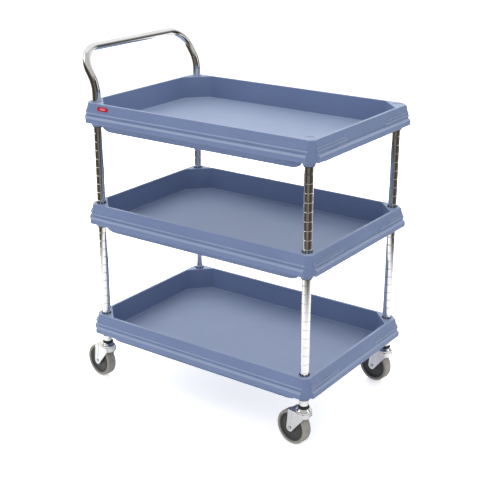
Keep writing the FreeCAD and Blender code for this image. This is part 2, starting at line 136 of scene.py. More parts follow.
def vectorNode(tree, operation, first, second=None, output="Vector"):
    sockets = {0: first} if second is None else {0: first, 1: second}
    return addNode(tree, "ShaderNodeVectorMath", sockets, operation=operation).outputs[output]


def ramp(tree, value, low, high, start=0.0, end=1.0, smooth=False):
    made = addNode(tree, "ShaderNodeMapRange", {"Value": value, "From Min": low, "From Max": high, "To Min": start,
                   "To Max": end}, interpolation_type="SMOOTHSTEP" if smooth else "LINEAR")
    return made.outputs["Result"]


def noise(tree, vector, scale, detail, roughness=0.5):
    return addNode(tree, "ShaderNodeTexNoise", {"Vector": vector, "Scale": scale, "Detail": detail,
                                                "Roughness": roughness}).outputs["Fac"]


def objectSpot(tree):
    return addNode(tree, "ShaderNodeTexCoord").outputs["Object"]


socketKinds = {float: "NodeSocketFloat", int: "NodeSocketInt", tuple: "NodeSocketVector"}


def newGroup(name, kind, inputs, outputs):
    # an input is a name with its usual value, or with the kind of its socket
    group = bpy.data.node_groups.new(name, kind)
    for label, value in inputs.items():
        socketType = socketKinds.get(type(value), value)
        socket = group.interface.new_socket(label, in_out="INPUT", socket_type=socketType)
        if socketType != value:
            socket.default_value = value
    for label, socketType in outputs.items():
        group.interface.new_socket(label, in_out="OUTPUT", socket_type=socketType)
    return group, group.nodes.new("NodeGroupInput").outputs, group.nodes.new("NodeGroupOutput").inputs


def newPieceTree(name, inputs):
    # named inputs for the sizes, between the piece's own geometry and its finish
    inputs = {"Geometry": "NodeSocketGeometry", **inputs, "Finish": "NodeSocketMaterial"}
    return newGroup(name, "GeometryNodeTree", inputs, {"Geometry": "NodeSocketGeometry"})


def endPieceTree(tree, given, result, geometry):
    solid = addNode(tree, "GeometryNodeRealizeInstances", {"Geometry": geometry})
    painted = addNode(tree, "GeometryNodeSetMaterial", {"Geometry": solid.outputs["Geometry"],
                                                        "Material": given["Finish"]})
    tree.links.new(painted.outputs["Geometry"], result["Geometry"])
    return tree


# shader groups, each one shared by several finishes

def makeGrainGroup():
    # fine moulded stipple and broad unevenness, both 0 to 1
    group, given, result = newGroup(
        "surfaceGrain", "ShaderNodeTree", {"Fine Scale": 900.0, "Broad Scale": 6.0},
        {"Fine": "NodeSocketFloat", "Broad": "NodeSocketFloat"})
    spot = objectSpot(group)
    group.links.new(noise(group, spot, given["Fine Scale"], 2.0, 0.55), result["Fine"])
    group.links.new(noise(group, spot, given["Broad Scale"], 4.0, 0.6), result["Broad"])
    return group


def makeEdgeGroup():
    # 1 along outer edges, broken up by noise; the pale colour laid there is edge wear together with a painted
    # highlight
    group, given, result = newGroup(
        "edgeRubAndHighlight", "ShaderNodeTree", {"Radius": 0.002, "Gain": 6.0, "Breakup Scale": 60.0},
        {"Mask": "NodeSocketFloat"})
    soft = addNode(group, "ShaderNodeBevel", {"Radius": given["Radius"]}, samples=4)
    flat = addNode(group, "ShaderNodeNewGeometry")
    dot = vectorNode(group, "DOT_PRODUCT", soft.outputs["Normal"], flat.outputs["Normal"], "Value")
    bend = mathNode(group, "SUBTRACT", 1.0, dot)
    strong = mathNode(group, "MULTIPLY", bend, given["Gain"], clamp=True)
    breakup = noise(group, objectSpot(group), given["Breakup Scale"], 3.0)
    spots = ramp(group, breakup, 0.38, 0.62, 0.55)
    mask = mathNode(group, "MULTIPLY", strong, spots, clamp=True)
    group.links.new(mask, result["Mask"])
    return group


def makeScuffGroup():
    # faint long rub marks, stretched along one axis
    group, given, result = newGroup(
        "rubMarks", "ShaderNodeTree", {"Stretch": (4.0, 90.0, 90.0), "Amount": 0.5}, {"Mask": "NodeSocketFloat"})
    stretched = vectorNode(group, "MULTIPLY", objectSpot(group), given["Stretch"])
    thin = ramp(group, noise(group, stretched, 1.0, 3.0, 0.7), 0.58, 0.76)
    mask = mathNode(group, "MULTIPLY", thin, given["Amount"], clamp=True)
    group.links.new(mask, result["Mask"])
    return group


grainGroup = makeGrainGroup()
edgeGroup = makeEdgeGroup()
scuffGroup = makeScuffGroup()


def useGroup(tree, group, **values):
    made = tree.nodes.new("ShaderNodeGroup")
    made.node_tree = group
    for name, value in values.items():
        made.inputs[name.replace("_", " ")].default_value = value
    return made.outputs


# finishes

polymerFinish = {
    "colour": (0.124, 0.173, 0.312, 1),
    "lightColour": (0.141, 0.193, 0.340, 1),
    # pale edge colour: edge wear together with a painted highlight along rims and beads
    "edgeColour": (0.36, 0.43, 0.58, 1),
    # painted top light: a paler colour laid on upward faces
    "topColour": (0.262, 0.325, 0.470, 1),
    "roughness": (0.44, 0.60),
    "stipple": 1100.0,
}
sleeveFinish = {
    "colour": (0.018, 0.019, 0.022, 1),
    "lightColour": (0.026, 0.027, 0.030, 1),
    "edgeColour": (0.07, 0.07, 0.08, 1),
    "roughness": (0.35, 0.5),
    "stipple": 900.0,
}
sealFinish = {
    "colour": (0.010, 0.010, 0.011, 1),
    "lightColour": (0.018, 0.018, 0.019, 1),
    "edgeColour": (0.05, 0.05, 0.05, 1),
    "roughness": (0.45, 0.65),
    "stipple": 700.0,
}
# the hub's pale edge colour is a painted highlight on its rings
hubFinish = {
    "colour": (0.035, 0.036, 0.034, 1),
    "lightColour": (0.052, 0.053, 0.050, 1),
    "edgeColour": (0.20, 0.20, 0.19, 1),
    "roughness": (0.35, 0.55),
    "stipple": 800.0,
}
wearAndPaintedLightSettings = {
    "edgeRadius": 0.0013,
    "edgeGain": 6.0,
    "edgeBreakup": 25.0,
    "edgeShown": 0.8,
    "scuffStretch": (5.0, 120.0, 120.0),
    "scuffAmount": 0.35,
    "scuffShown": 0.25,
    # how near to straight up a face must be to take the painted top light
    "upwardFrom": 0.30,
    "upwardFull": 0.80,
    "upwardLeast": 0.86,
    "broadScale": 5.0,
    "bumpStrength": 0.5,
    "bumpDistance": 0.00012,
}
chromeFinish = {"colour": (0.86, 0.86, 0.85, 1), "roughness": (0.035, 0.11)}
casterFinish = {"colour": (0.80, 0.80, 0.79, 1), "roughness": (0.10, 0.24)}
zincFinish = {"colour": (0.60, 0.61, 0.62, 1), "roughness": (0.25, 0.42)}
smudgeSettings = {"fineScale": 420.0, "broadScale": 18.0, "scuffAmount": 0.6, "scuffShare": 0.3, "dulled": 0.88,
                  "bumpStrength": 0.25}
tyreFinish = {
    "colour": (0.24, 0.23, 0.21, 1),
    "dustColour": (0.36, 0.34, 0.30, 1),
    "dustShown": 0.6,
    "scuffStretch": (60.0, 300.0, 60.0),
    "scuffAmount": 0.8,
    "scuffShown": 0.5,
    "roughness": (0.55, 0.78),
    "specular": 0.35,
    "scales": (700.0, 45.0),
    "bump": (0.6, 0.0002),
}
badgeFinish = {
    "colour": (0.36, 0.008, 0.035, 1),
    "middleColour": (0.62, 0.16, 0.20, 1),
    "middleSize": (0.011, 1.0, 0.0028),
    "middleEdge": (1.15, 0.85),
    "roughness": (0.16, 0.3),
    "coat": 0.6,
    "coatRoughness": 0.08,
    "scales": (500.0, 60.0),
    "bump": (0.15, 0.00005),
}


def newMaterial(name):
    material = bpy.data.materials.new(name)
    material.use_nodes = True
    tree = material.node_tree
    return material, tree, tree.nodes["Principled BSDF"]


def spread(tree, value, low=0.0, high=1.0):
    # the middle of a noise value, stretched over a range
    return ramp(tree, value, 0.3, 0.7, low, high)


def grainBump(tree, grain, strength, distance):
    made = addNode(tree, "ShaderNodeBump", {"Height": grain["Fine"], "Strength": strength,
                                            "Distance": distance})
    return made.outputs["Normal"]


def connect(tree, shader, **links):
    for name, value in links.items():
        tree.links.new(value, shader.inputs[name.replace("_", " ")])


def makeMoulded(name, s):
    w = wearAndPaintedLightSettings
    material, tree, shader = newMaterial(name)
    grain = useGroup(tree, grainGroup, Fine_Scale=s["stipple"], Broad_Scale=w["broadScale"])
    edges = useGroup(tree, edgeGroup, Radius=w["edgeRadius"], Gain=w["edgeGain"], Breakup_Scale=w["edgeBreakup"])
    scuffs = useGroup(tree, scuffGroup, Stretch=w["scuffStretch"], Amount=w["scuffAmount"])
    body = blendColour(tree, spread(tree, grain["Broad"]), s["colour"], s["lightColour"])
    if "topColour" in s:
        # painted top light: upward faces are painted paler, standing in for light from above
        normal = addNode(tree, "ShaderNodeTexCoord").outputs["Normal"]
        facing = addNode(tree, "ShaderNodeSeparateXYZ", {"Vector": normal}).outputs["Z"]
        paintedTopLight = ramp(tree, facing, w["upwardFrom"], w["upwardFull"], smooth=True)
        uneven = spread(tree, grain["Broad"], w["upwardLeast"], 1.0)
        body = blendColour(tree, mathNode(tree, "MULTIPLY", paintedTopLight, uneven), body, s["topColour"])
    # edges get wear together with a painted highlight; rub marks are wear only
    for paleMark, shown in ((edges, w["edgeShown"]), (scuffs, w["scuffShown"])):
        amount = mathNode(tree, "MULTIPLY", paleMark["Mask"], shown)
        body = blendColour(tree, amount, body, s["edgeColour"])
    connect(tree, shader, Base_Color=body, Roughness=spread(tree, grain["Fine"], *s["roughness"]),
            Normal=grainBump(tree, grain, w["bumpStrength"], w["bumpDistance"]))
    shader.inputs["Specular IOR Level"].default_value = 0.5
    return material


def makePlated(name, s, streak=(2.0, 2.0, 300.0), bumpDistance=0.00002):
    w = smudgeSettings
    material, tree, shader = newMaterial(name)
    grain = useGroup(tree, grainGroup, Fine_Scale=w["fineScale"], Broad_Scale=w["broadScale"])
    scuffs = useGroup(tree, scuffGroup, Stretch=streak, Amount=w["scuffAmount"])
    smudge = mathNode(tree, "ADD", mathNode(tree, "MULTIPLY", grain["Broad"], 1 - w["scuffShare"]),
                      mathNode(tree, "MULTIPLY", scuffs["Mask"], w["scuffShare"]))
    dull = tuple(w["dulled"] * part for part in s["colour"][:3]) + (1,)
    tone = blendColour(tree, spread(tree, grain["Broad"]), s["colour"], dull)
    connect(tree, shader, Base_Color=tone, Roughness=spread(tree, smudge, *s["roughness"]),
            Normal=grainBump(tree, grain, w["bumpStrength"], bumpDistance))
    shader.inputs["Metallic"].default_value = 1.0
    return material


def makeTyreRubber(s):
    material, tree, shader = newMaterial("greyRubber")
    grain = useGroup(tree, grainGroup, Fine_Scale=s["scales"][0], Broad_Scale=s["scales"][1])
    scuffs = useGroup(tree, scuffGroup, Stretch=s["scuffStretch"], Amount=s["scuffAmount"])
    dust = mathNode(tree, "MULTIPLY", spread(tree, grain["Broad"]), s["dustShown"])
    tone = blendColour(tree, dust, s["colour"], s["dustColour"])
    marked = blendColour(tree, mathNode(tree, "MULTIPLY", scuffs["Mask"], s["scuffShown"]), tone, s["dustColour"])
    connect(tree, shader, Base_Color=marked, Roughness=spread(tree, grain["Fine"], *s["roughness"]),
            Normal=grainBump(tree, grain, *s["bump"]))
    shader.inputs["Specular IOR Level"].default_value = s["specular"]
    return material


def makeBadgePaint(s):
    material, tree, shader = newMaterial("badgeLacquer")
    grain = useGroup(tree, grainGroup, Fine_Scale=s["scales"][0], Broad_Scale=s["scales"][1])
    low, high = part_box("badge_plate")
    middle = (low + high) / 2
    scale = tuple(1 / part for part in Vector(s["middleSize"]))
    shift = tuple(-middle[axis] * scale[axis] for axis in range(3))
    centred = addNode(tree, "ShaderNodeMapping", {"Vector": objectSpot(tree), "Location": shift, "Scale": scale})
    oval = ramp(tree, vectorNode(tree, "LENGTH", centred.outputs["Vector"], output="Value"), *s["middleEdge"])
    tone = blendColour(tree, oval, s["colour"], s["middleColour"])
    connect(tree, shader, Base_Color=tone, Roughness=spread(tree, grain["Broad"], *s["roughness"]),
            Normal=grainBump(tree, grain, *s["bump"]))
    shader.inputs["Coat Weight"].default_value = s["coat"]
    shader.inputs["Coat Roughness"].default_value = s["coatRoughness"]
    return material


materials = {
    "tray_polymer": makeMoulded("trayPolymer", polymerFinish),
    "cap_plastic": makeMoulded("capPolymer", polymerFinish),
    "sleeve_plastic": makeMoulded("sleevePlastic", sleeveFinish),
    "seal_rubber": makeMoulded("sealRubber", sealFinish),
    "hub_plastic": makeMoulded("hubPlastic", hubFinish),
    "grooved_chrome": makePlated("groovedChrome", chromeFinish),
    "chrome_tube": makePlated("handleChrome", chromeFinish, streak=(60.0, 60.0, 60.0)),
    "caster_chrome": makePlated("casterChrome", casterFinish, streak=(90.0, 20.0, 90.0), bumpDistance=0.00005),
    "axle_zinc": makePlated("axleZinc", zincFinish, streak=(80.0, 80.0, 80.0), bumpDistance=0.00005),
    "plain_steel": makePlated("plainSteel", zincFinish, streak=(80.0, 80.0, 80.0)),
    "grey_tyre": makeTyreRubber(tyreFinish),
    "badge_red": makeBadgePaint(badgeFinish),
}
print("finishes made:", len(materials))


# shared mesh helpers

weldDistance = 0.000002


def turnCorner(before, point, after, reach, steps):
    reach = min(reach, 0.45 * before.length, 0.45 * after.length)
    start, end = point + before.normalized() * reach, point + after.normalized() * reach
    return [start * (1 - t) ** 2 + point * 2 * t * (1 - t) + end * t ** 2
            for t in (step / steps for step in range(steps + 1))]


def roundPath(points, steps=3):
    # points are (vector, radius); each turn becomes a short curve that leaves the straight runs smoothly
    path = []
    last = len(points) - 1
    for index, (point, radius) in enumerate(points):
        point = Vector(point)
        if radius <= 0 or index in (0, last):
            path.append(point)
            continue
        before, after = Vector(points[index - 1][0]) - point, Vector(points[index + 1][0]) - point
        turn = math.pi - before.angle(after)
        path += turnCorner(before, point, after, radius * math.tan(turn / 2), steps)
    return path


def ringFaces(bm, rings, closed=False):
    rows = [[bm.verts.new(point) for point in ring] for ring in rings]
    count = len(rows[0])
    pairs = list(zip(rows, rows[1:])) + ([(rows[-1], rows[0])] if closed else [])
    for upper, lower in pairs:
        for index in range(count):
            after = (index + 1) % count
            bm.faces.new((upper[index], upper[after], lower[after], lower[index]))
    return rows


def finishMesh(bm, name, sharpAngle):
    bmesh.ops.remove_doubles(bm, verts=bm.verts, dist=weldDistance)
    bmesh.ops.recalc_face_normals(bm, faces=bm.faces)
    for face in bm.faces:
        face.smooth = True
    for edge in bm.edges:
        edge.smooth = edge.calc_face_angle(0.0) < math.radians(sharpAngle)
    mesh = bpy.data.meshes.new(name)
    bm.to_mesh(mesh)
    bm.free()
    return mesh


def settle(piece):
    # the evaluated mesh becomes the piece's own, and its modifiers go
    graph = bpy.context.evaluated_depsgraph_get()
    graph.update()
    mesh = bpy.data.meshes.new_from_object(piece.evaluated_get(graph))
    piece.modifiers.clear()
    piece.data = mesh
    return piece


def place(piece, body, slot, *nodes):
    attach(piece, body)
    if nodes:
        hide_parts(*nodes)


def makePiece(name, bm, sharpAngle, slot, body, *nodes):
    place(addObject(name, finishMesh(bm, name, sharpAngle), slot), body, slot, *nodes)


def joinShapes(bm, other):
    mesh = bpy.data.meshes.new("part")
    other.to_mesh(mesh)
    other.free()
    bm.from_mesh(mesh)
    bpy.data.meshes.remove(mesh)


def lathe(outline, segments, centre=Vector((0, 0, 0)), axis="Z", closed=True):
    # outline points are (radius, distance along the axis)
    rings = []
    for radius, distance in outline:
        ring = []
        for index in range(segments):
            angle = 2 * math.pi * index / segments
            across, up = radius * math.cos(angle), radius * math.sin(angle)
            local = Vector((across, up, distance)) if axis == "Z" else Vector((across, distance, up))
            ring.append(centre + local)
        rings.append(ring)
    bm = bmesh.new()
    ringFaces(bm, rings, closed)
    bmesh.ops.remove_doubles(bm, verts=bm.verts, dist=weldDistance)
    return bm


def extrudeOutline(outline, start, end):
    # outline is a list of points in one plane; start and end are the two offsets of its ends
    bm = bmesh.new()
    rows = ringFaces(bm, [[point + start for point in outline], [point + end for point in outline]])
    bm.faces.new(rows[0])
    bm.faces.new(list(reversed(rows[1])))
    return bm


# trays

traySettings = {
    "cornerSteps": 4,
    "outerCornerRound": 4.0,
    "innerCornerRound": 16.0,
    "rimOverhang": 25.0,
    "rimCut": 17.0,
    "cavityOverhang": 17.5,
    "cavityCut": 61.4,
    "cavityDraft": 5.5,
    "trayDepth": 68.0,
    "floorRound": 6.0,
    "bandOverhang": 31.5,
    "bandDepth": 27.0,
    "skirtOverhang": 32.5,
    "skirtDepth": 58.5,
    "wall": 3.5,
    "rimThickness": 4.0,
    "floorThickness": 4.0,
    "bedInset": 14.0,
    "bedCut": 6.0,
    "rimRounds": (2.6, 4.2),
    "bandRounds": (1.0, 1.4),
    "insideRounds": (0.8, 1.0, 1.0, 0.5, 3.0),
    "roundGrowsFrom": 25.0,
    "roundGrowsOver": 30.0,
    "boreRadius": 14.15,
    "boreReach": 20.0,
    "boreSegments": 48,
    "holeRadius": 2.3,
    "holeSpacing": 196.0,
    "holeDepth": 35.5,
    "holeStart": 26.0,
    "holeRun": 20.0,
    "holeSegments": 24,
    "sharpAngle": 32.0,
}
mitre = 2 - math.sqrt(2)
quarters = [(signX, signY) for signX in (-1, 1) for signY in (-1, 1)]


def cutRing(overhang, cut, height, rounding, steps):
    x, y, c = halfX + overhang * mm, halfY + overhang * mm, cut * mm
    points = [
        Vector((x, -y + c, height)), Vector((x, y - c, height)), Vector((x - c, y, height)),
        Vector((-x + c, y, height)), Vector((-x, y - c, height)), Vector((-x, -y + c, height)),
        Vector((-x + c, -y, height)), Vector((x - c, -y, height)),
    ]
    ring = []
    for index, point in enumerate(points):
        before, after = points[index - 1] - point, points[(index + 1) % 8] - point
        turned = turnCorner(before, point, after, rounding * mm * math.tan(math.pi / 8), steps)
        ring += [postsMiddle + spot for spot in turned]
    return ring


def trayRings(s, rim):
    # the whole skin in one pass: floor, inner wall, rim, outer band, skirt, then back up underneath
    def cutAt(overhang):
        return s["rimCut"] + (overhang - s["rimOverhang"]) * mitre

    def corner(depth, overhang, cut, rounding):
        return (depth, overhang, cut), rounding

    floorOverhang = s["cavityOverhang"] - s["cavityDraft"]
    innerCut, wall = s["cavityCut"], s["wall"]
    rimInside, bandInside, skirtInside = (s[part] - wall for part in ("rimOverhang", "bandOverhang", "skirtOverhang"))
    bed = floorOverhang - s["bedInset"], innerCut - s["bedCut"], 0
    underFloor = s["trayDepth"] + s["floorThickness"]
    rounds = s["insideRounds"]
    inner = [
        corner(s["trayDepth"], *bed),
        corner(s["trayDepth"], floorOverhang, innerCut, s["floorRound"]),
        corner(0, s["cavityOverhang"], innerCut, s["rimRounds"][0]),
        corner(0, s["rimOverhang"], s["rimCut"], s["rimRounds"][1]),
        corner(s["bandDepth"], s["bandOverhang"], cutAt(s["bandOverhang"]), s["bandRounds"][0]),
        corner(s["skirtDepth"], s["skirtOverhang"], cutAt(s["skirtOverhang"]), s["bandRounds"][1]),
        corner(s["skirtDepth"], skirtInside, cutAt(skirtInside), rounds[0]),
        corner(s["bandDepth"], bandInside, cutAt(bandInside), rounds[1]),
        corner(s["rimThickness"], rimInside, cutAt(rimInside), rounds[2]),
        corner(s["rimThickness"], s["cavityOverhang"] + wall - 0.2, innerCut + wall * mitre, rounds[3]),
        corner(underFloor, floorOverhang + wall, innerCut + wall * mitre, rounds[4]),
        corner(underFloor, *bed),
    ]
    rings = []
    for depth, overhang, cut in roundPath(inner, steps=4):
        deep = min(1.0, max(0.0, (cut - s["roundGrowsFrom"]) / s["roundGrowsOver"]))
        rounding = s["outerCornerRound"] + deep * (s["innerCornerRound"] - s["outerCornerRound"])
        rings.append(cutRing(overhang, cut, rim - depth * mm, rounding, s["cornerSteps"]))
    return rings


def holePoint(signX, signY, rim, outward=0.0):
    s = traySettings
    return postsMiddle + Vector((signX * (halfX + outward * mm), signY * s["holeSpacing"] * mm / 2,
                                 rim - s["holeDepth"] * mm))


def trayCutters(s, rim):
    bm = bmesh.new()
    reach = s["boreReach"] * mm
    for corner in corners:
        joinShapes(bm, cappedRod(postAxis(corner) + Vector((0, 0, rim - reach)), Vector((0, 0, 2 * reach)),
                                 s["boreRadius"] * mm, s["boreSegments"]))
    for signX, signY in quarters:
        joinShapes(bm, cappedRod(holePoint(signX, signY, rim, s["holeStart"]),
                                 Vector((signX * s["holeRun"] * mm, 0, 0)), s["holeRadius"] * mm,
                                 s["holeSegments"]))
    bmesh.ops.recalc_face_normals(bm, faces=bm.faces)
    mesh = bpy.data.meshes.new("trayCutter")
    bm.to_mesh(mesh)
    bm.free()
    return addObject("trayCutter", mesh)


def cappedRod(start, run, radius, segments):
    side = run.orthogonal().normalized()
    up = run.normalized().cross(side)
    outline = [start + (side * math.cos(2 * math.pi * k / segments) + up * math.sin(2 * math.pi * k / segments))
               * radius for k in range(segments)]
    return extrudeOutline(outline, Vector((0, 0, 0)), run)


def cutShell(shell, cutter):
    modifier = shell.modifiers.new("cut", "BOOLEAN")
    modifier.operation = "DIFFERENCE"
    modifier.solver = "EXACT"
    modifier.object = cutter
    settle(shell)
    bpy.data.objects.remove(cutter)


# bars that stand proud along each side, between the plain corners
# an outline's points are (depth below the rim, overhang)
barSettings = {
    "bead": {"outline": [(27.4, 30.5), (27.9, 32.8), (29.2, 34.0), (30.8, 34.0), (32.2, 33.0), (32.8, 30.5)],
             "round": 0.7, "endGap": 26.0, "shortFrom": 103.0},
    "ledge": {"outline": [(37.6, 30.5), (38.0, 33.4), (38.6, 34.2), (42.4, 38.0), (44.0, 39.0), (55.4, 39.0),
                          (58.0, 37.2), (59.0, 34.0), (59.0, 30.5)],
              "round": 1.6, "endGap": 28.0, "shortFrom": 0.0},
}


def addBar(bm, outline, start, end):
    # the outline is measured from the middle of the posts
    joinShapes(bm, extrudeOutline([postsMiddle + point for point in outline], Vector(start), Vector(end)))


def sideBars(bm, rim):
    for s in barSettings.values():
        profile = roundPath([((depth, overhang, 0), s["round"]) for depth, overhang in s["outline"]], steps=3)
        for axis, half, other in (("x", halfX, halfY), ("y", halfY, halfX)):
            for sign in (-1, 1):
                length = other + (39.0 - s["endGap"]) * mm
                outline = []
                for depth, overhang, _ in profile:
                    out = sign * (half + overhang * mm)
                    height = rim - depth * mm
                    outline.append(Vector((out, 0, height)) if axis == "x" else Vector((0, out, height)))
                if axis == "y":
                    addBar(bm, outline, (-length, 0, 0), (length, 0, 0))
                    continue
                near = s["shortFrom"] * mm
                runs = [(-length, -near), (near, length)] if near else [(-length, length)]
                for start, end in runs:
                    addBar(bm, outline, (0, start, 0), (0, end, 0))


# low steps beside the fixing holes on the short sides
stepSettings = {
    "depths": (20.5, 24.2, 34.9),
    "holeGap": (14.0, 8.0, 4.0),
    "height": 1.5,
    "face": 32.5,
    "back": 29.5,
    "draft": 0.3,
    "round": 0.5,
    "farOverhang": 15.5,
}


def shortSideSteps(bm, rim):
    s = stepSettings
    hole = traySettings["holeSpacing"] * mm / 2
    for signX, signY in quarters:
        for depth, gap in zip(s["depths"], s["holeGap"]):
            face, back = signX * (halfX + s["face"] * mm), signX * (halfX + s["back"] * mm)
            top, low = rim - depth * mm, rim - (depth + s["height"]) * mm
            outline = roundPath([
                ((back, 0, top), 0), ((face, 0, top - s["draft"] * mm), s["round"] * mm),
                ((face, 0, low + s["draft"] * mm), s["round"] * mm), ((back, 0, low), 0)], steps=2)
            near = signY * (hole + gap * mm)
            far = signY * (halfY + s["farOverhang"] * mm)
            addBar(bm, outline, (0, near, 0), (0, far, 0))


# blind bosses behind the fixing holes, between the two walls
bossSettings = {"outline": [(0, 20.5), (2.35, 20.5), (2.35, 28.6), (4.2, 28.6), (4.2, 18.9), (0, 18.9)],
                "segments": 24}


def holeBosses(bm, rim):
    s = bossSettings
    for signX, signY in quarters:
        boss = lathe([(radius * mm, overhang * mm) for radius, overhang in s["outline"]], s["segments"], closed=False)
        bmesh.ops.rotate(boss, verts=boss.verts, matrix=Matrix.Rotation(signX * math.pi / 2, 3, "Y"))
        bmesh.ops.translate(boss, verts=boss.verts, vec=holePoint(signX, signY, rim))
        joinShapes(bm, boss)


collarSettings = {
    "segments": 56,
    "outline": [(14.4, 71.4), (15.4, 72.0), (16.6, 71.2), (17.3, 69.0), (17.7, 64.5), (18.3, 61.5), (18.3, 4.0),
                (14.4, 4.0)],
}


def collars(bm, rim):
    s = collarSettings
    outline = [(radius * mm, rim - depth * mm) for radius, depth in s["outline"]]
    for corner in corners:
        joinShapes(bm, lathe(outline, s["segments"], postAxis(corner)))


railSettings = {
    "overhang": 4.0,
    "thickness": 4.0,
    "topDepth": 70.0,
    "depth": 84.5,
    "endInset": 22.0,
    "fullInset": 56.0,
    "sweepSteps": 10,
}


def rails(bm, rim):
    s = railSettings
    high, low = rim - s["topDepth"] * mm, rim - s["depth"] * mm
    end, full = halfX - s["endInset"] * mm, halfX - s["fullInset"] * mm
    outline = []
    for sign in (1, -1):
        sweep = []
        for step in range(s["sweepSteps"] + 1):
            angle = math.pi / 2 * step / s["sweepSteps"]
            sweep.append(Vector((sign * (full + (end - full) * math.cos(angle)), 0,
                                 high - (high - low) * math.sin(angle))))
        outline += sweep if sign > 0 else list(reversed(sweep))
    side = halfY + s["overhang"] * mm
    wide = s["thickness"] * mm
    for sign in (-1, 1):
        addBar(bm, outline, (0, sign * (side - wide), 0), (0, sign * side, 0))
    for sign in (-1, 1):
        near = sign * (full - wide)
        across = [Vector((near, y, z)) for y, z in
                  ((-side + wide, low), (side - wide, low), (side - wide, high), (-side + wide, high))]
        addBar(bm, across, (0, 0, 0), (sign * wide, 0, 0))


def makeRibTree():
    # a row of equal ribs, one at each point of a line
    tree, given, result = newPieceTree(
        "ribRow", {"Count": 5, "Start": (0, 0, 0), "Step": (0.1, 0, 0), "Size": (0.003, 0.4, 0.011)})
    points = addNode(tree, "GeometryNodeMeshLine", {"Count": given["Count"],
                     "Start Location": given["Start"], "Offset": given["Step"]})
    rib = addNode(tree, "GeometryNodeMeshCube", {"Size": given["Size"]})
    row = addNode(tree, "GeometryNodeInstanceOnPoints", {"Points": points.outputs["Mesh"],
                                                         "Instance": rib.outputs["Mesh"]})
    return endPieceTree(tree, given, result, row.outputs["Instances"])


def runTree(name, tree, slot, baseMesh=None, **values):
    # puts a tree on a new object, fills its inputs by identifier, and keeps the plain mesh
    piece = addObject(name, baseMesh or bpy.data.meshes.new(name))
    modifier = piece.modifiers.new(tree.name, "NODES")
    modifier.node_group = tree
    wanted = {"finish": materials[slot], **values}
    for item in tree.interface.items_tree:
        key = item.name.replace(" ", "").lower()
        if item.item_type == "SOCKET" and item.in_out == "INPUT" and key in wanted:
            modifier[item.identifier] = wanted[key]
    return settle(piece)


ribTree = makeRibTree()
ribSettings = {"thickness": 3.0, "drop": 9.0, "sunk": 2.0, "count": 5, "inset": 60.0}


def floorRibs(rim):
    s = ribSettings
    full = halfX - s["inset"] * mm
    thickness, tall = s["thickness"] * mm, (s["drop"] + s["sunk"]) * mm
    middle = rim - (traySettings["trayDepth"] + s["sunk"]) * mm - tall / 2
    step = 2 * full / (s["count"] + 1)
    cross = runTree("crossRibs", ribTree, "tray_polymer", count=s["count"], step=(step, 0, 0),
                    start=(postsMiddle.x - full + step, 0, middle), size=(thickness, 2 * halfY, tall))
    spine = runTree("spineRib", ribTree, "tray_polymer", count=1, step=(0, 0, 0),
                    start=(postsMiddle.x, 0, middle), size=(2 * full, thickness, tall))
    return [cross, spine]


def makeTray(level):
    rim = rimHeights[level]
    bm = bmesh.new()
    rows = ringFaces(bm, trayRings(traySettings, rim))
    bm.faces.new(rows[0])
    bm.faces.new(rows[-1])
    shell = addObject("tray_" + level + "_shell", finishMesh(bm, "trayShell", 38.0))
    cutShell(shell, trayCutters(traySettings, rim))
    bm = bmesh.new()
    bm.from_mesh(shell.data)
    bpy.data.objects.remove(shell)
    sideBars(bm, rim)
    shortSideSteps(bm, rim)
    holeBosses(bm, rim)
    collars(bm, rim)
    rails(bm, rim)
    for ribs in floorRibs(rim):
        bm.from_mesh(ribs.data)
        bpy.data.objects.remove(ribs)
    tray = addObject("moulded_tray_" + level, finishMesh(bm, "mouldedTray", traySettings["sharpAngle"]),
                     "tray_polymer")
    modifier = tray.modifiers.new("weighted", "WEIGHTED_NORMAL")
    modifier.keep_sharp = True
    settle(tray)
    place(tray, rootBody, "tray_polymer", "tray_" + level)


for level in trayLevels:
    makeTray(level)
print("trays moulded:", len(trayLevels))


# grooved posts

postSettings = {
    "groovePitch": 25.4,
    "firstGroove": 25.4,
    "grooveWidth": 2.6,
    "grooveDepth": 0.8,
    "radius": 12.7,
    "segments": 56,
    "sharpAngle": 12.0,
}


